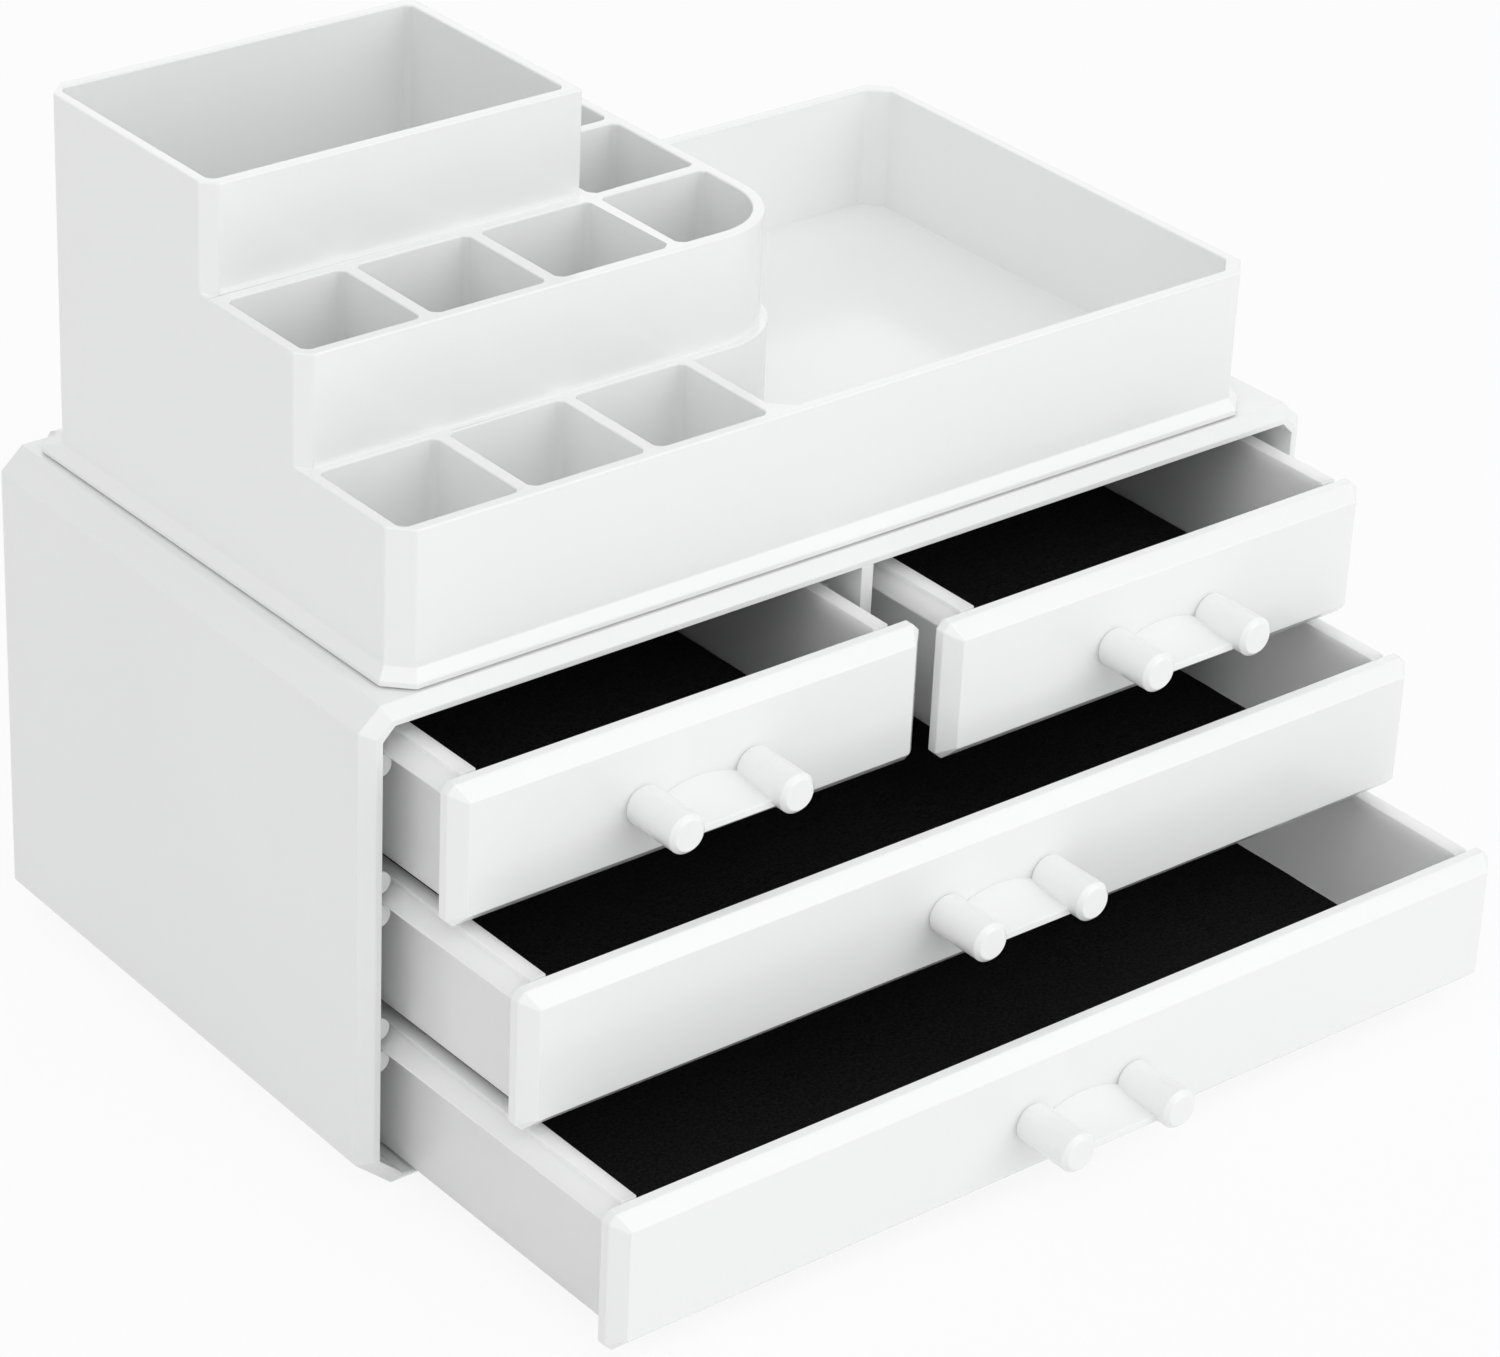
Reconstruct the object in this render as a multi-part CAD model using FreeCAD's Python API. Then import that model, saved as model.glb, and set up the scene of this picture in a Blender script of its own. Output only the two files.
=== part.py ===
import FreeCAD, Part
import math
import os

# Two-storey vanity organizer in white moulded plastic: a low cabinet with four
# felt-lined drawers, and a stepped open caddy that stands loose on its top.
# All sizes are in millimetres. X is to the right, Y to the back, Z up, and the
# origin is the centre of the cabinet's base. The drawers are modelled part open.

Vec = FreeCAD.Vector

# Cabinet
cab_w = 240.0            # width at the front rim
cab_d = 131.0            # depth, rim to back
cab_h = 107.2            # height
side_draft = 2.3         # each side is this much narrower at the back
side_wall = 4.0          # side wall at the rim
top_wall = 3.8
floor_wall = 3.0
back_wall = 2.4
top_cut_x = 5.0          # chamfers along the long edges
top_cut_z = 4.5
base_cut_x = 8.3
base_cut_z = 7.0
rim_cut = 2.5            # chamfer round the front rim
bay_top_cut = 2.7        # corner chamfers inside the cabinet
bay_base_cut_x = 5.6
bay_base_cut_z = 4.9

# Runners
rail_r = 2.4             # ribs are round-tipped, twice this thick
rail_reach = 4.8         # from the wall to the tip
rail_setback = 4.0       # behind the front rim
hanger_t = 3.0           # web between the two top drawers, flush with the rim
hanger_setback = 10.0    # the web's foot starts behind the rim
rail_play = 0.15         # under a drawer's flange
rail_pair = 7.3          # between the ribs under and over a flange

# Drawers
row_count = 3
row_gap = 2.0            # between one row and the next
head_room = 3.75         # over the top row
foot_room = 0.5          # under the bottom row
front_gap = 1.7          # from a front plate's end to the wall
front_meet = 3.0         # between the two top plates
front_t = 5.2            # front plate, which closes the tray
front_bevel = 3.0
front_corner = 1.6       # clipped corners of the plate's back
front_tip = 0.3          # and of its front face
front_top_gap = 0.45     # the plate's top is this much below the tray's rim
flange_gap = 2.85        # from a flange's edge to the wall or the hanger
flange_reach = 3.3       # the flange slopes down from the rim to its edge
flange_edge_t = 0.5
flange_h = 4.0           # from the flange's underside to the rim
rim_w = 3.6              # raised rim round the tray
rim_step = 1.0           # from the rim down to the top of the slope
rim_over = 0.85          # the rim stands out from the tray's wall
tray_wall = 2.2          # rear wall
tray_floor = 2.0
tray_foot = 0.9          # the tray's underside is this much above the plate's
close_front = 0.5        # shut, the plate stops this far from the rim
close_back = 0.6         # and the tray this far from the cabinet's back
open_top_left = 15.0     # how far each drawer stands open
open_top_right = 18.8
open_middle = 37.7
open_bottom = 66.6

# Handles
post_r = 4.25
post_len = 14.5
post_span = 26.4         # between the two posts
post_cut = 1.0           # chamfer at the front end
handle_drop = 1.2        # the posts' axis is this much below the plate's middle
neck_r = 3.9             # shallow groove at the foot
neck_len = 0.5
bridge_t = 1.6
bridge_len = 11.2
bridge_crown = 2.0       # top of the bridge at the plate, over the posts' axis
bridge_fall = 3.2        # from the crown to the bridge's ends
lip_drop = 1.3           # the lip, under the posts' axis
scoop_dip = 0.5          # how far the bridge sags between plate and lip

# Felt liners
liner_t = 1.2
liner_gap = 0.3

# Caddy
caddy_shift = -2.4       # stands a little to the left
caddy_w = 218.2          # foot flange
caddy_d = 127.4
caddy_setback = 2.9      # behind the front rim
flange_cut = 5.0         # clipped corners of the flange
foot_h = 0.5             # the flange stands on an inset foot
foot_inset = 3.0
flange_edge = 1.0
skirt_h = 2.5            # slanted skirt from the flange to the walls
skirt_in = 1.6
base_t = 5.2             # cabinet top to the caddy's floor
base_skin = 2.2
caddy_back_in = 5.8      # the back wall stands in from the flange
caddy_wall = 2.5
tray_h = 27.4            # rims, over the caddy's floor
tier_h = 50.8
bin_h = 73.6
wall_cut = 4.4           # clipped upright corners
tier_cut = 2.9
hollow_cut = 4.0
cell_cut = 1.2
insert_w = 118.7         # tier and bin together
insert_in = 31.2         # from the caddy's front wall to the tier
bin_w = 87.4
bin_in = 31.1            # from the tier's front to the bin
ledge = 1.6              # thin wall of the tray round the tier's foot
tier_r = 18.0            # rounded end of the tier
front_cells_w = 91.0
divider_t = 2.8
cell_count = 3

os.makedirs("parts", exist_ok=True)


def box(x0, x1, y0, y1, z0, z1):
    return Part.makeBox(x1 - x0, y1 - y0, z1 - z0, Vec(x0, y0, z0))


def flat_face(corners):
    return Part.Face(Part.makePolygon(corners + corners[:1]))


def skinned(rings):
    """Solid through a row of flat outlines that have the same number of corners."""
    faces = [flat_face(rings[0]), flat_face(rings[-1])]
    for near, far in zip(rings, rings[1:]):
        for k in range(len(near)):
            faces.append(flat_face([near[k - 1], near[k], far[k], far[k - 1]]))
    shell = Part.makeShell(faces)
    shell.sewShape()
    solid = Part.makeSolid(shell)
    if solid.Volume < 0:
        solid.reverse()
    return solid


def upright(points, z0, z1):
    return flat_face([Vec(x, y, z0) for x, y in points]).extrude(Vec(0, 0, z1 - z0))


def clipped(x0, x1, y0, y1, cut):
    """Plan of a rectangle with its four corners clipped."""
    return [(x0 + cut, y0), (x1 - cut, y0), (x1, y0 + cut), (x1, y1 - cut),
            (x1 - cut, y1), (x0 + cut, y1), (x0, y1 - cut), (x0, y0 + cut)]


def well(x0, x1, y0, y1, z0, z1, cut):
    return upright(clipped(x0, x1, y0, y1, cut), z0, z1)


def corner_outside_arc(x, y, r, z0, z1):
    """What is left outside a rounded front right-hand corner."""
    block = box(x - r, x + 1, y - 1, y + r, z0, z1)
    return block.cut(Part.makeCylinder(r, z1 - z0, Vec(x - r, y + r, z0)))


def corner_clip(x, y, cut, x_way, y_way, z0, z1):
    """Wedge that clips an upright corner; the ways point into the solid."""
    over = 1.0
    reach = cut + over
    corner = (x - over * x_way, y - over * y_way)
    points = [corner, (x + reach * x_way, corner[1]), (corner[0], y + reach * y_way)]
    return upright(points, z0, z1)


def save(name, shape):
    shape.exportStep(os.path.join("parts", name + ".step"))


def joined(first, others):
    return first.fuse(others).removeSplitter()


# Cabinet shell: an eight-sided sleeve, narrower at the back
rim_y = -cab_d / 2
back_y = cab_d / 2
bay_half = cab_w / 2 - side_wall
bay_floor = floor_wall
bay_top = cab_h - top_wall
bay_back = back_y - back_wall


def ring(half, z0, z1, base_cut, top_cut, y):
    bx, bz = base_cut
    tx, tz = top_cut
    right = [(half - bx, z0), (half, z0 + bz), (half, z1 - tz), (half - tx, z1)]
    left = [(-x, z) for x, z in reversed(right)]
    return [Vec(x, y, z) for x, z in right + left]


def inset_cut(cut_x, cut_z, step):
    """A corner chamfer after the whole outline moves in by one step."""
    slope = math.hypot(cut_x, cut_z)
    return (cut_x - step * (1 + (cut_x - slope) / cut_z),
            cut_z - step * (1 + (cut_z - slope) / cut_x))


base_cut = (base_cut_x, base_cut_z)
top_cut = (top_cut_x, top_cut_z)
rim_ring = ring(cab_w / 2 - rim_cut, rim_cut, cab_h - rim_cut,
                inset_cut(base_cut_x, base_cut_z, rim_cut),
                inset_cut(top_cut_x, top_cut_z, rim_cut), rim_y)
front_ring = ring(cab_w / 2, 0, cab_h, base_cut, top_cut, rim_y + rim_cut)
back_ring = ring(cab_w / 2 - side_draft, 0, cab_h, base_cut, top_cut, back_y)
shell_outside = skinned([rim_ring, front_ring, back_ring])

bay_ring = ring(bay_half, bay_floor, bay_top, (bay_base_cut_x, bay_base_cut_z),
                (bay_top_cut, bay_top_cut), rim_y)
bay = flat_face(bay_ring).extrude(Vec(0, cab_d, 0))
save("cabinet_shell", shell_outside.cut(bay))

back_blank = box(-cab_w, cab_w, bay_back, back_y, -1, cab_h)
save("cabinet_back", bay.common(back_blank))

# Rows: heights of one drawer, from the bottom row up
row_pitch = (bay_top - head_room - bay_floor - foot_room + row_gap) / row_count
tray_height = row_pitch - row_gap


def row_bottom(row):
    """Foot of a drawer's front plate; row 0 is at the bottom."""
    return bay_floor + foot_room + row * row_pitch


def flange_bottom(row):
    return row_bottom(row) + tray_height - flange_h


def lower_rail(row):
    return flange_bottom(row) - rail_play - rail_r


def upper_rail(row):
    return lower_rail(row) + rail_pair


# Runner ribs on the side walls; the cabinet's top guides the top row
def rib(side, z):
    wall_x = side * bay_half
    core_x = side * (bay_half - rail_reach + rail_r)
    y0 = rim_y + rail_setback
    length = bay_back - y0
    bar = box(min(wall_x, core_x), max(wall_x, core_x), y0, bay_back, z - rail_r, z + rail_r)
    tip = Part.makeCylinder(rail_r, length, Vec(core_x, y0, z), Vec(0, 1, 0))
    return joined(bar, [tip])


rib_heights = [lower_rail(row) for row in range(row_count)]
rib_heights += [upper_rail(row) for row in range(row_count - 1)]
for side, name in ((-1, "runners_left"), (1, "runners_right")):
    save(name, Part.makeCompound([rib(side, z) for z in rib_heights]))

# Centre hanger: a web under the cabinet's top with a round-edged foot
hanger_z = lower_rail(row_count - 1)
foot_y = rim_y + hanger_setback
hanger_core = hanger_t / 2 + rail_reach - rail_r
web = box(-hanger_t / 2, hanger_t / 2, rim_y, bay_back, hanger_z - rail_r, bay_top)
foot = box(-hanger_core, hanger_core, foot_y, bay_back, hanger_z - rail_r, hanger_z + rail_r)
foot_edges = [Part.makeCylinder(rail_r, bay_back - foot_y, Vec(x, foot_y, hanger_z), Vec(0, 1, 0))
              for x in (-hanger_core, hanger_core)]
save("center_hanger", joined(web, [foot] + foot_edges))

# Drawers
tray_len = (bay_back - close_back) - (rim_y - close_front)
front_outer, front_inner = bay_half - front_gap, front_meet / 2
flange_outer, flange_inner = bay_half - flange_gap, hanger_t / 2 + flange_gap
tray_side = flange_reach + rim_w


def drawer_tray(x0, x1, row, y0):
    top = row_bottom(row) + tray_height
    bottom = row_bottom(row) + tray_foot
    floor = bottom + tray_floor
    flange_z = flange_bottom(row)

    def side(edge, way):
        """Section of one side, from the inside of the rim out and down to the tray's foot."""
        rim = edge + way * flange_reach
        inside, wall = rim + way * rim_w, rim + way * rim_over
        return [(inside, floor), (inside, top), (rim, top), (rim, top - rim_step),
                (edge, flange_z + flange_edge_t), (edge, flange_z), (wall, flange_z), (wall, bottom)]

    left = side(x0, 1)
    right = side(x1, -1)
    outline = [Vec(x, y0, z) for x, z in left + right[::-1]]
    channel = flat_face(outline).extrude(Vec(0, tray_len, 0))
    rear = box(x0 + tray_side, x1 - tray_side, y0 + tray_len - tray_wall, y0 + tray_len, floor, top)
    return joined(channel, [rear])


def drawer_front(x0, x1, row, y0):
    z0 = row_bottom(row)
    z1 = z0 + tray_height - front_top_gap

    def outline(step, cut, y):
        plan = clipped(x0 + step, x1 - step, z0 + step, z1 - step, cut)
        return [Vec(x, y, z) for x, z in plan]

    bevel_y = y0 - front_t + front_bevel
    return skinned([outline(0, front_corner, y0), outline(0, front_corner, bevel_y),
                    outline(front_bevel, front_tip, y0 - front_t)])


def bridge_section(out, crown, ends, x_mid, y0, z_mid):
    """Closed outline across the handle's bridge, a given way out from the plate."""
    half = post_span / 2 - bridge_t * 0.75

    def spot(x, z):
        return Vec(x_mid + x, y0 - out, z_mid + z)

    left, right = spot(-half, ends), spot(half, ends)
    under_left, under_right = spot(-half, ends - bridge_t), spot(half, ends - bridge_t)
    arch = Part.BezierCurve()
    arch.setPoles([left, spot(0, 2 * crown - ends), right])
    return Part.Wire([arch.toShape(), Part.makeLine(right, under_right),
                      Part.makeLine(under_right, under_left), Part.makeLine(under_left, left)])


def drawer_handle(x_mid, row, y0):
    z_mid = row_bottom(row) + (tray_height - front_top_gap) / 2 - handle_drop
    out = Vec(0, -1, 0)
    posts = []
    for side in (-1, 1):
        x = x_mid + side * post_span / 2
        neck = Part.makeCylinder(neck_r, neck_len, Vec(x, y0, z_mid), out)
        stem_len = post_len - neck_len - post_cut
        stem = Part.makeCylinder(post_r, stem_len, Vec(x, y0 - neck_len, z_mid), out)
        tip_foot = Vec(x, y0 - post_len + post_cut, z_mid)
        tip = Part.makeCone(post_r, post_r - post_cut, post_cut, tip_foot, out)
        posts.append(neck.fuse([stem, tip]))
    ends = bridge_crown - bridge_fall
    middle = (bridge_crown - lip_drop) / 2 - scoop_dip
    middle_ends = (ends - lip_drop) / 2 - scoop_dip / 2
    sections = [bridge_section(0, bridge_crown, ends, x_mid, y0, z_mid),
                bridge_section(bridge_len / 2, middle, middle_ends, x_mid, y0, z_mid),
                bridge_section(bridge_len, -lip_drop, -lip_drop, x_mid, y0, z_mid)]
    bridge = Part.makeLoft(sections, True, False)
    return joined(bridge, posts)


def drawer_liner(x0, x1, row, y0):
    side = tray_side + liner_gap
    end = y0 + tray_len - tray_wall - liner_gap
    floor = row_bottom(row) + tray_foot + tray_floor
    return box(x0 + side, x1 - side, y0 + liner_gap, end, floor, floor + liner_t)


# Each drawer: its tray's span over the flanges, its plate's span, its row and how far it is open
full_width = ((-flange_outer, flange_outer), (-front_outer, front_outer))
left_half = ((-flange_outer, -flange_inner), (-front_outer, -front_inner))
right_half = ((flange_inner, flange_outer), (front_inner, front_outer))
top_row = row_count - 1
drawers = [("top_left", *left_half, top_row, open_top_left),
           ("top_right", *right_half, top_row, open_top_right),
           ("middle", *full_width, 1, open_middle),
           ("bottom", *full_width, 0, open_bottom)]
for name, tray_x, front_x, row, opened in drawers:
    tray_y = rim_y - close_front - opened
    save("drawer_" + name + "_tray", drawer_tray(*tray_x, row, tray_y))
    save("drawer_" + name + "_front", drawer_front(*front_x, row, tray_y))
    save("drawer_" + name + "_handle", drawer_handle(sum(front_x) / 2, row, tray_y - front_t))
    save("drawer_" + name + "_liner", drawer_liner(*tray_x, row, tray_y))

# Caddy: outlines on plan
foot_x0 = caddy_shift - caddy_w / 2
foot_x1 = caddy_shift + caddy_w / 2
foot_y0 = rim_y + caddy_setback
foot_y1 = foot_y0 + caddy_d
wall_x0, wall_x1 = foot_x0 + skirt_in, foot_x1 - skirt_in
wall_y0, wall_y1 = foot_y0 + skirt_in, foot_y1 - caddy_back_in
floor_z = cab_h + base_t
flange_z = cab_h + foot_h
tray_z, tier_z, bin_z = floor_z + tray_h, floor_z + tier_h, floor_z + bin_h

# Base: an inset foot, the flange, the slanted skirt and the floor, hollow below
foot_plate = well(foot_x0 + foot_inset, foot_x1 - foot_inset, foot_y0 + foot_inset, foot_y1 - foot_inset,
                  cab_h, flange_z, flange_cut)
flange_plan = clipped(foot_x0, foot_x1, foot_y0, foot_y1, flange_cut)
wall_plan = clipped(wall_x0, wall_x1, wall_y0, wall_y1, wall_cut)


def level(plan, z):
    return [Vec(x, y, z) for x, y in plan]


edge = flange_z + flange_edge
skirt = skinned([level(flange_plan, flange_z), level(flange_plan, edge),
                 level(wall_plan, edge + skirt_h), level(wall_plan, floor_z)])
under = foot_inset + base_skin
hollow = well(wall_x0 + under, wall_x1 - under, wall_y0 + under, wall_y1 - under,
              cab_h - 1, floor_z - base_skin, flange_cut)
save("caddy_base", joined(foot_plate, [skirt]).cut(hollow))

# Insert: the tier and the bin share one footprint with a rounded front right-hand end
insert_x0, insert_x1 = wall_x0, wall_x0 + insert_w
insert_y0, insert_y1 = wall_y0 + insert_in, wall_y1
bin_x1 = insert_x0 + bin_w
bin_y0 = insert_y0 + bin_in


def insert_block(z1, grow):
    """The insert's footprint, made larger on its free sides by one step."""
    right, front = insert_x1 + grow, insert_y0 - grow
    block = box(insert_x0, right, front, insert_y1, floor_z, z1)
    return block.cut(corner_outside_arc(right, front, tier_r + grow, floor_z, z1))


# Cells stand in rows that start at the left-hand wall
cell_x0 = wall_x0 + caddy_wall


def cell_row(width, y0, y1, z1):
    lefts = [cell_x0 + k * (width + divider_t) for k in range(cell_count)]
    return [well(x, x + width, y0, y1, floor_z, z1, cell_cut) for x in lefts]


# Tray: the whole plan less the insert, the open tray and the front cells
tray_block = upright(wall_plan, floor_z, tray_z)
cell_y0, cell_y1 = wall_y0 + caddy_wall, insert_y0 - ledge
front_end = wall_x0 + front_cells_w
front_cell_w = (front_end - caddy_wall - cell_x0 - divider_t * (cell_count - 1)) / cell_count
front_cells = cell_row(front_cell_w, cell_y0, cell_y1, tray_z)
open_tray = well(front_end, wall_x1 - caddy_wall, cell_y0, wall_y1 - caddy_wall, floor_z, tray_z, hollow_cut)
open_tray = open_tray.cut(insert_block(tray_z, ledge))
low_insert = insert_block(tray_z, 0).common(tray_block)
save("caddy_tray", tray_block.cut([low_insert, open_tray] + front_cells))

# Tier: a row of cells in front of the bin and a column beside it
outer_clip = corner_clip(wall_x0, wall_y1, wall_cut, 1, -1, floor_z, bin_z)
tier_clip = corner_clip(insert_x0, insert_y0, tier_cut, 1, 1, tray_z, tier_z)
bin_blank = box(insert_x0, bin_x1, bin_y0, insert_y1, floor_z, bin_z)
row_y0, row_y1 = insert_y0 + caddy_wall, bin_y0 - caddy_wall
row_cell_w = (bin_x1 - cell_x0 - divider_t * (cell_count - 1)) / cell_count
tier_cells = cell_row(row_cell_w, row_y0, row_y1, tier_z)
side_x0, side_x1 = bin_x1 + divider_t, insert_x1 - caddy_wall
round_cell = well(side_x0, side_x1, row_y0, row_y1, floor_z, tier_z, cell_cut)
round_cell = round_cell.cut(corner_outside_arc(side_x1, row_y0, tier_r - caddy_wall, floor_z, tier_z))
side_len = (insert_y1 - bin_y0 - caddy_wall * 2) / 2
side_cells = [well(side_x0, side_x1, y, y + side_len, floor_z, tier_z, cell_cut)
              for y in (bin_y0, bin_y0 + side_len + caddy_wall)]
tier = insert_block(tier_z, 0).cut([bin_blank, tier_clip, round_cell] + tier_cells + side_cells)
save("caddy_tier", tier)

# Bin: four tall walls at the back
bin_clip = corner_clip(insert_x0, bin_y0, tier_cut, 1, 1, tier_z, bin_z)
bin_well = well(cell_x0, bin_x1 - caddy_wall, bin_y0 + caddy_wall, insert_y1 - caddy_wall,
                floor_z, bin_z, cell_cut)
save("caddy_bin", bin_blank.cut([outer_clip, bin_clip, bin_well]))
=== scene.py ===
import bpy
import bmesh
from mathutils import Matrix, Vector, noise


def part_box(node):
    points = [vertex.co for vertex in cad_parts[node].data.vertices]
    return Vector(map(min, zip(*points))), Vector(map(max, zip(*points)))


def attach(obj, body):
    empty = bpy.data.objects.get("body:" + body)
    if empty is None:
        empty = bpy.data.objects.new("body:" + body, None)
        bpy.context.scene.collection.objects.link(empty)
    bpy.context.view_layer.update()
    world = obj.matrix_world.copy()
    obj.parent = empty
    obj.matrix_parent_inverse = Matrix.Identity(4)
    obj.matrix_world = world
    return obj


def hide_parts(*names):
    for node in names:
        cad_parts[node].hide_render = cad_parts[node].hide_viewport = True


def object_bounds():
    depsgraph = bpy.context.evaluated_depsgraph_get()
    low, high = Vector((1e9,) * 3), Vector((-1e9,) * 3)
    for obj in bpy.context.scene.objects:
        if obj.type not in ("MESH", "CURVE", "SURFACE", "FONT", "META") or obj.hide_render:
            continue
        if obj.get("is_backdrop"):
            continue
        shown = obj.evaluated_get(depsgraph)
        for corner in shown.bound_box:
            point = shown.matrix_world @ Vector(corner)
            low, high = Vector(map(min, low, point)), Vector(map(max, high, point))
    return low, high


# Looks of a vanity organizer: glossy white plastic with softened edges, and black felt
# liners in the drawers. Sizes are in metres and angles in radians.

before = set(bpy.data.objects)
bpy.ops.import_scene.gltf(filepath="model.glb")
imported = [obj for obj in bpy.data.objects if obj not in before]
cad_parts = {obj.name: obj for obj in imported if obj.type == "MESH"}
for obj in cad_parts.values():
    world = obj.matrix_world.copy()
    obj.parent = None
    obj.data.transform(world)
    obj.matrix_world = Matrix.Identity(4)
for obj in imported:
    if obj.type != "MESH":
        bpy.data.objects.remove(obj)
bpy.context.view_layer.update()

MM = 0.001

# Softened edges of the moulded plastic
EDGE_RADIUS = 0.4 * MM          # the caddy's walls
FINE_EDGE_RADIUS = 0.18 * MM    # all other plastic
EDGE_STEPS = 3
WELD_GAP = 0.002 * MM           # points closer than this are joined
FLAT_ANGLE = 0.009              # facets flatter than this become one face
EDGE_ANGLE = 0.38               # edges sharper than this are rounded
CREASE_ANGLE = 0.8              # edges still sharper than this split the shading
SEAM_GAP = 0.05 * MM            # an edge this close to a seam belongs to it
FOOT_HEIGHT = 0.5 * MM          # the caddy's inset foot
TIER_RADIUS = 18 * MM           # rounded end of the caddy's tier

# Noises of the materials: scale per metre, detail, roughness
TONE_DRIFT = (14.0, 2.0, 0.5)
POLISH = (55.0, 4.0, 0.6)
ORANGE_PEEL = (190.0, 1.0, 0.5)
FINE_GRAIN = (2400.0, 2.0, 0.5)
FELT_FIBRES = (1500.0, 4.0, 0.7)
FELT_CLUMPS = (420.0, 2.0, 0.5)
FELT_MATTING = (800.0, 2.0, 0.5)
NOISE_LOW = 0.3                 # the part of a noise's span that is put to use
NOISE_HIGH = 0.7

# Bumps of the materials: strength, depth
PEEL_BUMP = (0.35, 0.012 * MM)
GRAIN_BUMP = (0.25, 0.003 * MM)
CLUMP_BUMP = (0.5, 0.12 * MM)
FIBRE_BUMP = (0.9, 0.16 * MM)

# White plastic
COOL_TINT = (0.0, 0.002, 0.004)  # added to red, green and blue
PLASTIC_IOR = 1.5
CLOUD_DEPTH = 6.0 * MM          # how far light spreads in cloudy plastic

# Felt
FELT_DARK = (0.005, 0.005, 0.0053)
FELT_LIGHT = (0.026, 0.026, 0.0265)
FELT_ROUGH = (0.85, 1.0)
FELT_SPECULAR = 0.06
FELT_SHEEN = 0.012
FELT_SHEEN_ROUGH = 0.6
FELT_TRIM = 0.25 * MM           # the sheet is this much smaller on each side
FELT_PITCH = 3.0 * MM           # spacing of its points
FELT_WAVE = 0.16 * MM           # unevenness of its top
FELT_WAVE_SCALE = 90            # scales are per metre
FELT_WAVE_SHIFT = 300           # the shifts make the rows' sheets different
CUT_WAVE = FELT_TRIM * 0.6      # unevenness of its cut edges
CUT_SCALE_ALONG = 160
CUT_SCALE_ACROSS = 40
CUT_SHIFT_X = 200
CUT_SHIFT_Y = 250
CUT_ROUND = 0.35 * MM
CUT_STEPS = 2
CUT_ANGLE = 0.9

# Studio
FLOOR_SIZE = 12.0
FLOOR_DROP = 0.1 * MM
FLOOR_TONE = 0.92
FLOOR_ROUGH = 0.9
FLOOR_GLOW = 0.88
ROOM_LIGHT = 0.65

# Softboxes: name, place, width, power in watts
SOFTBOXES = [
    ("high_softbox", (-0.75, -0.95, 1.75), 1.6, 5.6),
    ("right_softbox", (0.7, -1.6, 1.0), 1.8, 9.0),
    ("left_softbox", (-1.7, -0.1, 1.1), 1.2, 1.3),
    ("back_softbox", (0.9, 1.5, 1.0), 1.4, 2.5),
]
SOFTBOX_TARGET = (0, 0, 0.1)

# Camera at the photograph's place
LENS = 121.52                   # lens and sensor are in millimetres
SENSOR_WIDTH = 36.0
CLIP_START = 0.01
CLIP_END = 50.0
CAMERA_PLACE = (-0.58430, -0.72751, 0.56284)
CAMERA_RIGHT = (0.779990, -0.624399, 0.041731)
CAMERA_UP = (0.273118, 0.399657, 0.875032)
CAMERA_BACK = (-0.563047, -0.671119, 0.482263)


def add_object(name, data):
    obj = bpy.data.objects.new(name, data)
    bpy.context.scene.collection.objects.link(obj)
    return obj


def paint(obj, material):
    obj.data.materials.clear()
    obj.data.materials.append(material)


# Building blocks of node trees
def link(tree, from_node, from_socket, to_node, to_socket):
    tree.links.new(from_node.outputs[from_socket], to_node.inputs[to_socket])


def math_node(tree, operation, first, second=None, third=None):
    """Result of one operation; each input is an output of another node or a plain number."""
    node = tree.nodes.new("ShaderNodeMath")
    node.operation = operation
    for k, value in enumerate((first, second, third)):
        if isinstance(value, bpy.types.NodeSocket):
            tree.links.new(value, node.inputs[k])
        elif value is not None:
            node.inputs[k].default_value = value
    return node.outputs[0]


def noise_node(tree, coords, kind):
    scale, detail, roughness = kind
    node = tree.nodes.new("ShaderNodeTexNoise")
    node.inputs["Scale"].default_value = scale
    node.inputs["Detail"].default_value = detail
    node.inputs["Roughness"].default_value = roughness
    link(tree, coords, "Object", node, "Vector")
    return node


def spread(tree, source, span):
    """Maps the middle of a noise onto a span."""
    low, high = span
    node = tree.nodes.new("ShaderNodeMapRange")
    node.inputs["From Min"].default_value = NOISE_LOW
    node.inputs["From Max"].default_value = NOISE_HIGH
    node.inputs["To Min"].default_value = low
    node.inputs["To Max"].default_value = high
    link(tree, source, "Fac", node, "Value")
    return node


def two_tone(tree, source, dark, light):
    """Maps the middle of a noise onto the colours between two tones."""
    node = tree.nodes.new("ShaderNodeValToRGB")
    node.color_ramp.elements[0].position = NOISE_LOW
    node.color_ramp.elements[0].color = (*dark, 1)
    node.color_ramp.elements[1].position = NOISE_HIGH
    node.color_ramp.elements[1].color = (*light, 1)
    link(tree, source, "Fac", node, "Fac")
    return node


def bump_node(tree, source, kind, under=None):
    strength, depth = kind
    node = tree.nodes.new("ShaderNodeBump")
    node.inputs["Strength"].default_value = strength
    node.inputs["Distance"].default_value = depth
    link(tree, source, "Fac", node, "Height")
    if under is not None:
        link(tree, under, "Normal", node, "Normal")
    return node


def new_material(name):
    material = bpy.data.materials.new(name)
    material.use_nodes = True
    tree = material.node_tree
    return material, tree, tree.nodes["Principled BSDF"]


# Materials
def cool_white(level):
    return [level + tint for tint in COOL_TINT]


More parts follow.
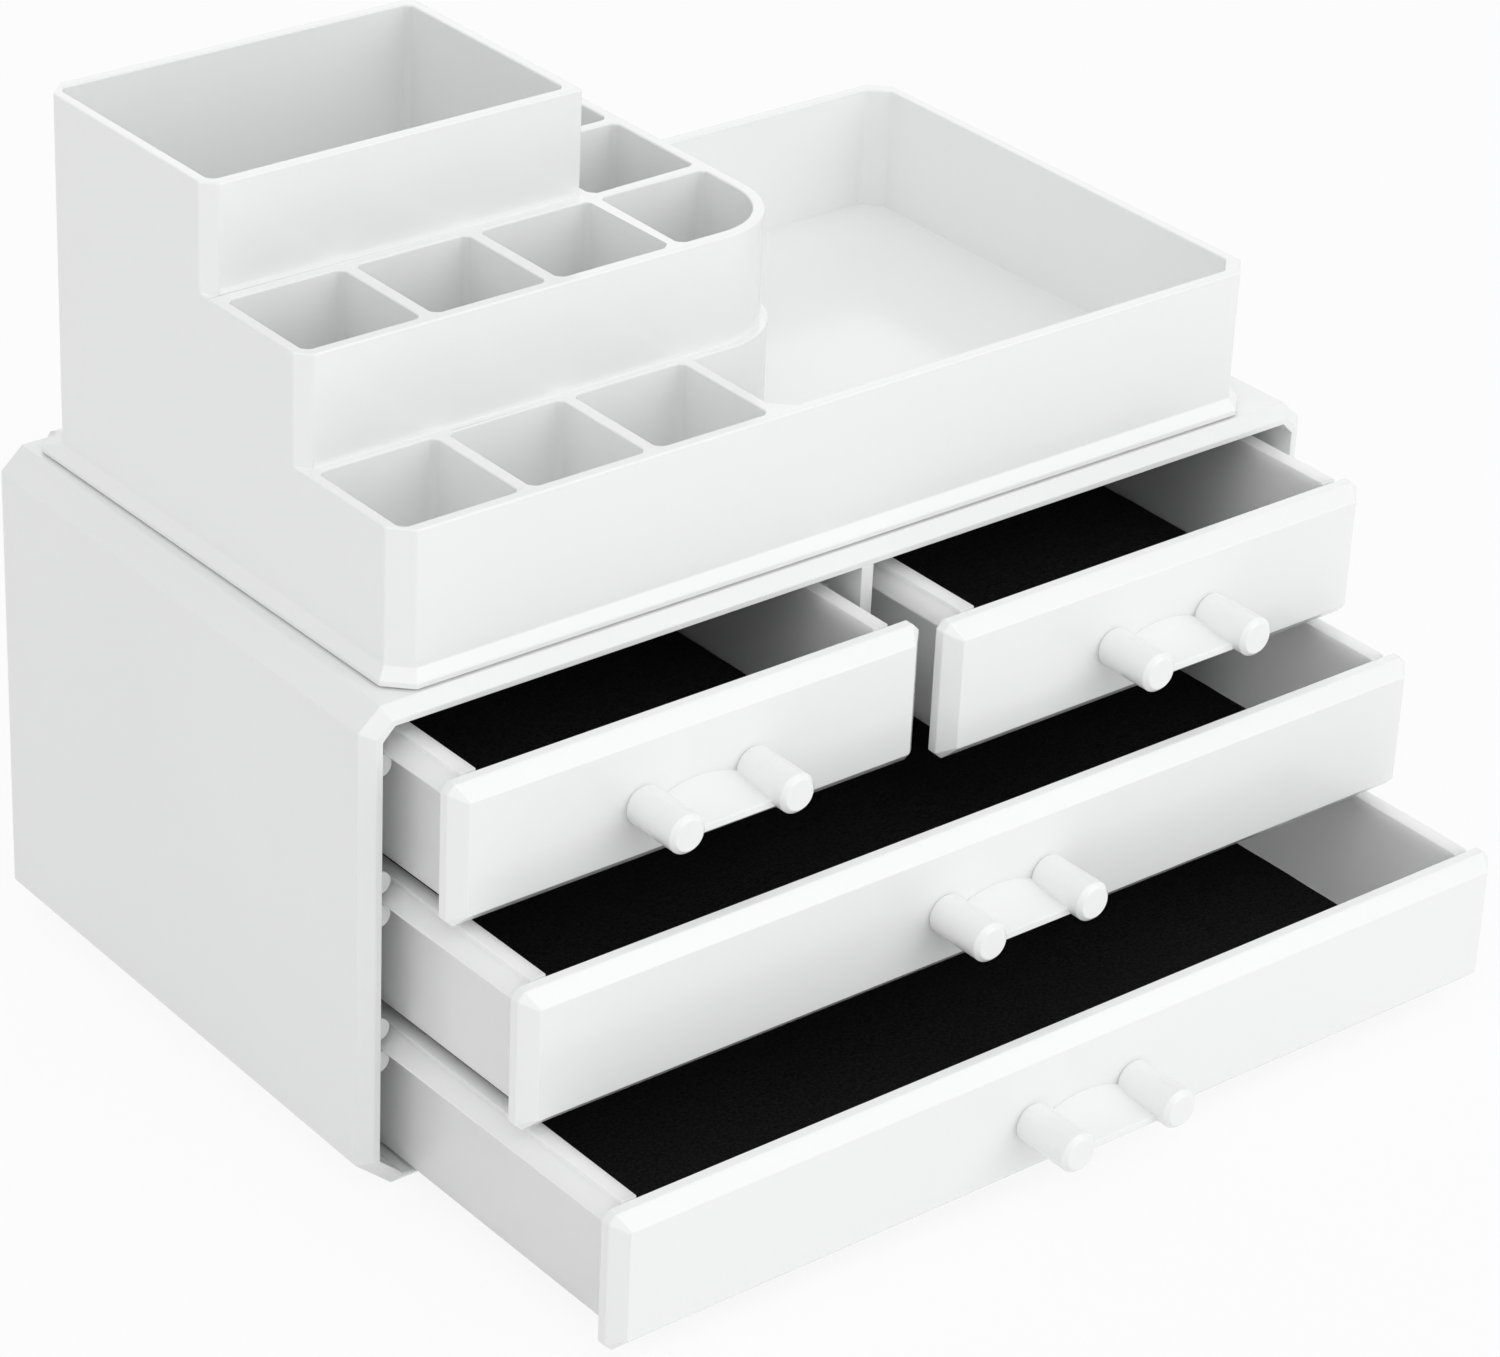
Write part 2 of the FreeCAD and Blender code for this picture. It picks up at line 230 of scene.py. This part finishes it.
def white_plastic(name, tones, rough, cloudy=0.0):
    """Moulded gloss plastic: slight tone drift, uneven polish, orange peel and a fine grain."""
    material, tree, shader = new_material(name)
    coords = tree.nodes.new("ShaderNodeTexCoord")
    dark, light = tones
    drift = noise_node(tree, coords, TONE_DRIFT)
    tone = two_tone(tree, drift, cool_white(dark), cool_white(light))
    link(tree, tone, "Color", shader, "Base Color")
    polish = noise_node(tree, coords, POLISH)
    link(tree, spread(tree, polish, rough), "Result", shader, "Roughness")
    peel = bump_node(tree, noise_node(tree, coords, ORANGE_PEEL), PEEL_BUMP)
    grain = bump_node(tree, noise_node(tree, coords, FINE_GRAIN), GRAIN_BUMP, peel)
    link(tree, grain, "Normal", shader, "Normal")
    shader.inputs["IOR"].default_value = PLASTIC_IOR
    shader.inputs["Subsurface Weight"].default_value = cloudy
    shader.inputs["Subsurface Radius"].default_value = (1, 1, 1)
    shader.inputs["Subsurface Scale"].default_value = CLOUD_DEPTH
    return material


def black_felt(name):
    """Pressed felt: short matted fibres with small clumps."""
    material, tree, shader = new_material(name)
    coords = tree.nodes.new("ShaderNodeTexCoord")
    fibres = noise_node(tree, coords, FELT_FIBRES)
    link(tree, two_tone(tree, fibres, FELT_DARK, FELT_LIGHT), "Color", shader, "Base Color")
    clumps = bump_node(tree, noise_node(tree, coords, FELT_CLUMPS), CLUMP_BUMP)
    nap = bump_node(tree, fibres, FIBRE_BUMP, clumps)
    link(tree, nap, "Normal", shader, "Normal")
    matting = noise_node(tree, coords, FELT_MATTING)
    link(tree, spread(tree, matting, FELT_ROUGH), "Result", shader, "Roughness")
    shader.inputs["Specular IOR Level"].default_value = FELT_SPECULAR
    shader.inputs["Sheen Weight"].default_value = FELT_SHEEN
    shader.inputs["Sheen Roughness"].default_value = FELT_SHEEN_ROUGH
    return material


# Each white has its darkest and lightest tone, and its least and greatest roughness
cabinet_white = white_plastic("cabinet_white", tones=(0.905, 0.922), rough=(0.14, 0.24))
caddy_white = white_plastic("caddy_white", tones=(0.938, 0.95), rough=(0.12, 0.2))
drawer_white = white_plastic("drawer_white", tones=(0.93, 0.942), rough=(0.12, 0.2))
# The trays' white is lighter than the drawers' own white: painted light that brightens the trays'
# shaded insides. Their cloudiness spreads real light through the walls.
tray_white_painted_light = white_plastic("tray_white_painted_light", tones=(0.962, 0.972), rough=(0.14, 0.22), cloudy=0.9)
felt = black_felt("black_felt")


# Node trees of the modifiers that round the edges
def geometry_tree(name):
    tree = bpy.data.node_groups.new(name, "GeometryNodeTree")
    tree.interface.new_socket("Geometry", in_out="INPUT", socket_type="NodeSocketGeometry")
    tree.interface.new_socket("Geometry", in_out="OUTPUT", socket_type="NodeSocketGeometry")
    return tree, tree.nodes.new("NodeGroupInput"), tree.nodes.new("NodeGroupOutput")


def chain(tree, nodes):
    for near, far in zip(nodes, nodes[1:]):
        link(tree, near, "Geometry", far, "Geometry")


def edge_angle(tree):
    return tree.nodes.new("GeometryNodeInputMeshEdgeAngle").outputs["Unsigned Angle"]


def store_on_edges(tree, name, kind, value):
    node = tree.nodes.new("GeometryNodeStoreNamedAttribute")
    node.domain = "EDGE"
    node.data_type = kind
    node.inputs["Name"].default_value = name
    tree.links.new(value, node.inputs["Value"])
    return node


def weld_tree():
    """Joins a node's separate facets and drops its stored normals."""
    tree, start, end = geometry_tree("joined_facets")
    merge = tree.nodes.new("GeometryNodeMergeByDistance")
    merge.inputs["Distance"].default_value = WELD_GAP
    drop = tree.nodes.new("GeometryNodeRemoveAttribute")
    drop.inputs["Name"].default_value = "custom_normal"
    smooth = tree.nodes.new("GeometryNodeSetShadeSmooth")
    chain(tree, [start, merge, drop, smooth, end])
    return tree


def at_level(tree, value, level):
    """One where a value is within a seam's gap of a level."""
    return math_node(tree, "COMPARE", value, level, SEAM_GAP)


def on_straight_seam(tree, place, sharp, seam):
    """One for a sharp edge that lies at all of a seam's levels, each along one axis."""
    hit = sharp
    for axis, level in seam:
        hit = math_node(tree, "MULTIPLY", hit, at_level(tree, place.outputs[axis], level))
    return hit


def on_round_seam(tree, place, seam):
    """One for an edge that lies on a level arc round an upright axis."""
    x, y, z, radius = seam
    from_x = math_node(tree, "SUBTRACT", place.outputs["X"], x)
    from_y = math_node(tree, "SUBTRACT", place.outputs["Y"], y)
    square_x = math_node(tree, "POWER", from_x, 2.0)
    square_y = math_node(tree, "POWER", from_y, 2.0)
    away = math_node(tree, "SQRT", math_node(tree, "ADD", square_x, square_y))
    on_arc = at_level(tree, away, radius)
    return math_node(tree, "MULTIPLY", on_arc, at_level(tree, place.outputs["Z"], z))


def rounding_tree(name, straight_seams, round_seams):
    """Marks the sharp edges for rounding, apart from those on a seam."""
    tree, start, end = geometry_tree(name)
    place = tree.nodes.new("ShaderNodeSeparateXYZ")
    link(tree, tree.nodes.new("GeometryNodeInputPosition"), 0, place, 0)
    sharp = math_node(tree, "GREATER_THAN", edge_angle(tree), EDGE_ANGLE)
    hits = [on_straight_seam(tree, place, sharp, seam) for seam in straight_seams]
    hits += [on_round_seam(tree, place, seam) for seam in round_seams]
    on_seam = 0.0
    for hit in hits:
        on_seam = math_node(tree, "MAXIMUM", on_seam, hit)
    rounded = math_node(tree, "SUBTRACT", sharp, on_seam)
    chain(tree, [start, store_on_edges(tree, "bevel_weight_edge", "FLOAT", rounded), end])
    return tree


def crease_tree():
    """Keeps the shading apart at the edges that stay sharp after the rounding."""
    tree, start, end = geometry_tree("creases")
    sharp = math_node(tree, "GREATER_THAN", edge_angle(tree), CREASE_ANGLE)
    chain(tree, [start, store_on_edges(tree, "sharp_edge", "BOOLEAN", sharp), end])
    return tree


# Seams: where the pieces of the caddy's one moulding meet flush, and its flange's crisp lower edge
base_low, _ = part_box("caddy_base")
tray_low, tray_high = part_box("caddy_tray")
tier_low, tier_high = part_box("caddy_tier")
bin_low, bin_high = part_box("caddy_bin")
caddy_seams = [
    [("Z", base_low.z + FOOT_HEIGHT)],
    [("Z", tray_low.z)],
    [("X", tier_low.x), ("Y", tier_low.y)],
    [("X", tier_low.x), ("Y", bin_low.y)],
    [("X", bin_high.x), ("Y", tier_high.y)],
    [("X", tier_high.x), ("Y", tier_high.y)],
    [("Y", tier_low.y), ("Z", tray_high.z)],
    [("X", tier_high.x), ("Z", tray_high.z)],
    [("Y", bin_low.y), ("Z", tier_high.z)],
    [("X", bin_high.x), ("Z", tier_high.z)],
]
tier_end = (tier_high.x - TIER_RADIUS, tier_low.y + TIER_RADIUS, tray_high.z, TIER_RADIUS)

joined_facets = weld_tree()
creases = crease_tree()
plain_edges = rounding_tree("plain_edges", [], [])
caddy_edges = rounding_tree("caddy_edges", caddy_seams, [tier_end])


def node_modifier(obj, name, tree):
    obj.modifiers.new(name, "NODES").node_group = tree


def weigh_normals(obj):
    obj.modifiers.new("shade", "WEIGHTED_NORMAL").keep_sharp = True


def soften(obj, radius, rounding):
    """Rounds the edges of a moulded piece a little, as a real mould does."""
    node_modifier(obj, "join", joined_facets)
    flat = obj.modifiers.new("flat", "DECIMATE")
    flat.decimate_type = "DISSOLVE"
    flat.angle_limit = FLAT_ANGLE
    node_modifier(obj, "marks", rounding)
    edges = obj.modifiers.new("edges", "BEVEL")
    edges.width = radius
    edges.segments = EDGE_STEPS
    edges.limit_method = "WEIGHT"
    edges.use_clamp_overlap = False
    edges.miter_outer = "MITER_ARC"
    node_modifier(obj, "creases", creases)
    weigh_normals(obj)


def plastic_look(name):
    """Material, edge radius and rounding marks of a plastic node."""
    if name == "caddy_base":
        return caddy_white, FINE_EDGE_RADIUS, caddy_edges
    if name.startswith("caddy"):
        return caddy_white, EDGE_RADIUS, caddy_edges
    if name.startswith("drawer") and name.endswith("_tray"):
        return tray_white_painted_light, FINE_EDGE_RADIUS, plain_edges
    if name.startswith("drawer"):
        return drawer_white, FINE_EDGE_RADIUS, plain_edges
    return cabinet_white, FINE_EDGE_RADIUS, plain_edges


# Plastic nodes: all but the liners, which the felt replaces
for name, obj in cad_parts.items():
    if not name.endswith("_liner"):
        material, radius, rounding = plastic_look(name)
        paint(obj, material)
        soften(obj, radius, rounding)


# Felt liners
def wave(x, y, z):
    return noise.noise(Vector((x, y, z)))


def felt_grid(mesh, low, high, across, along, is_top):
    """Points of one side of a felt sheet, in columns; the top is lightly uneven."""
    width = high.x - low.x - 2 * FELT_TRIM
    depth = high.y - low.y - 2 * FELT_TRIM
    grid = []
    for i in range(across + 1):
        column = []
        for j in range(along + 1):
            x = low.x + FELT_TRIM + width * i / across
            y = low.y + FELT_TRIM + depth * j / along
            z = low.z
            if is_top:
                swell = wave(x * FELT_WAVE_SCALE, y * FELT_WAVE_SCALE, low.z * FELT_WAVE_SHIFT)
                z = high.z - FELT_WAVE + FELT_WAVE * swell
            if i in (0, across) or j in (0, along):
                x += CUT_WAVE * wave(y * CUT_SCALE_ALONG, x * CUT_SCALE_ACROSS, low.z * CUT_SHIFT_X)
                y += CUT_WAVE * wave(x * CUT_SCALE_ALONG, y * CUT_SCALE_ACROSS, low.z * CUT_SHIFT_Y)
            column.append(mesh.verts.new((x, y, z)))
        grid.append(column)
    return grid


def felt_mesh(name, low, high):
    """Closed mesh of a felt sheet: its two sides and a band round its cut edge."""
    across = round((high.x - low.x) / FELT_PITCH)
    along = round((high.y - low.y) / FELT_PITCH)
    mesh = bmesh.new()
    bottom = felt_grid(mesh, low, high, across, along, False)
    top = felt_grid(mesh, low, high, across, along, True)
    for i in range(across):
        for j in range(along):
            mesh.faces.new((top[i][j], top[i + 1][j], top[i + 1][j + 1], top[i][j + 1]))
            mesh.faces.new((bottom[i][j], bottom[i][j + 1], bottom[i + 1][j + 1], bottom[i + 1][j]))
    rim = [(i, 0) for i in range(across)] + [(across, j) for j in range(along)]
    rim += [(i, along) for i in range(across, 0, -1)] + [(0, j) for j in range(along, 0, -1)]
    for (i, j), (m, n) in zip(rim, rim[1:] + rim[:1]):
        mesh.faces.new((bottom[i][j], bottom[m][n], top[m][n], top[i][j]))
    bmesh.ops.recalc_face_normals(mesh, faces=mesh.faces)
    for face in mesh.faces:
        face.smooth = True
    data = bpy.data.meshes.new(name)
    mesh.to_mesh(data)
    mesh.free()
    return data


def felt_sheet(name, low, high):
    """A cut sheet of felt that lies in a tray, with rounded cut edges."""
    obj = add_object(name, felt_mesh(name, low, high))
    cut = obj.modifiers.new("cut_edge", "BEVEL")
    cut.width = CUT_ROUND
    cut.segments = CUT_STEPS
    cut.limit_method = "ANGLE"
    cut.angle_limit = CUT_ANGLE
    cut.use_clamp_overlap = False
    weigh_normals(obj)
    return obj


for drawer in ("top_left", "top_right", "middle", "bottom"):
    node = "drawer_" + drawer + "_liner"
    low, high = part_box(node)
    sheet = felt_sheet("felt_" + drawer, low, high)
    paint(sheet, felt)
    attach(sheet, "drawer_" + drawer)
    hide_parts(node)


# Floor: glows pale for the eye and keeps a soft shadow
def seen_rays(tree):
    """One where a ray comes from the eye, from a gloss or through glass."""
    path = tree.nodes.new("ShaderNodeLightPath")
    direct = math_node(tree, "MAXIMUM", path.outputs["Is Camera Ray"], path.outputs["Is Glossy Ray"])
    return math_node(tree, "MAXIMUM", direct, path.outputs["Is Transmission Ray"])


def floor_material():
    material, tree, shader = new_material("studio_floor")
    shader.inputs["Base Color"].default_value = (FLOOR_TONE, FLOOR_TONE, FLOOR_TONE, 1)
    shader.inputs["Roughness"].default_value = FLOOR_ROUGH
    shader.inputs["Specular IOR Level"].default_value = 0.0
    glow = tree.nodes.new("ShaderNodeEmission")
    mix = tree.nodes.new("ShaderNodeMixShader")
    tree.links.new(math_node(tree, "MULTIPLY", seen_rays(tree), FLOOR_GLOW), mix.inputs[0])
    link(tree, shader, "BSDF", mix, 1)
    link(tree, glow, "Emission", mix, 2)
    link(tree, mix, "Shader", tree.nodes["Material Output"], "Surface")
    return material


half = FLOOR_SIZE / 2
floor_corners = [(-half, -half, -FLOOR_DROP), (half, -half, -FLOOR_DROP),
                 (half, half, -FLOOR_DROP), (-half, half, -FLOOR_DROP)]
floor_data = bpy.data.meshes.new("floor")
floor_data.from_pydata(floor_corners, [], [(0, 1, 2, 3)])
floor = add_object("floor", floor_data)
paint(floor, floor_material())
floor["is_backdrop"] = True

# Room light: white to the eye, softer on surfaces
world = bpy.data.worlds.new("studio")
world.use_nodes = True
bpy.context.scene.world = world
room = world.node_tree
sky = room.nodes["Background"]
sky.inputs["Color"].default_value = (1, 1, 1, 1)
strength = room.nodes.new("ShaderNodeMapRange")
strength.inputs["To Min"].default_value = ROOM_LIGHT
strength.inputs["To Max"].default_value = 1.0
room.links.new(seen_rays(room), strength.inputs["Value"])
link(room, strength, "Result", sky, "Strength")

# Softboxes
for name, place, width, power in SOFTBOXES:
    lamp_data = bpy.data.lights.new(name, "AREA")
    lamp_data.shape = "DISK"
    lamp_data.size = width
    lamp_data.energy = power
    lamp = add_object(name, lamp_data)
    lamp.location = place
    lamp.rotation_mode = "QUATERNION"
    lamp.rotation_quaternion = (Vector(SOFTBOX_TARGET) - Vector(place)).to_track_quat("-Z", "Y")

# Camera
camera_data = bpy.data.cameras.new("camera")
camera_data.sensor_fit = "HORIZONTAL"
camera_data.sensor_width = SENSOR_WIDTH
camera_data.lens = LENS
camera_data.clip_start = CLIP_START
camera_data.clip_end = CLIP_END
camera = add_object("camera", camera_data)
turn = Matrix((CAMERA_RIGHT, CAMERA_UP, CAMERA_BACK)).transposed()
camera.matrix_world = Matrix.Translation(CAMERA_PLACE) @ turn.to_4x4()
bpy.context.scene.camera = camera

bpy.context.scene.view_settings.view_transform = "Standard"

bpy.context.view_layer.update()
low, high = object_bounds()
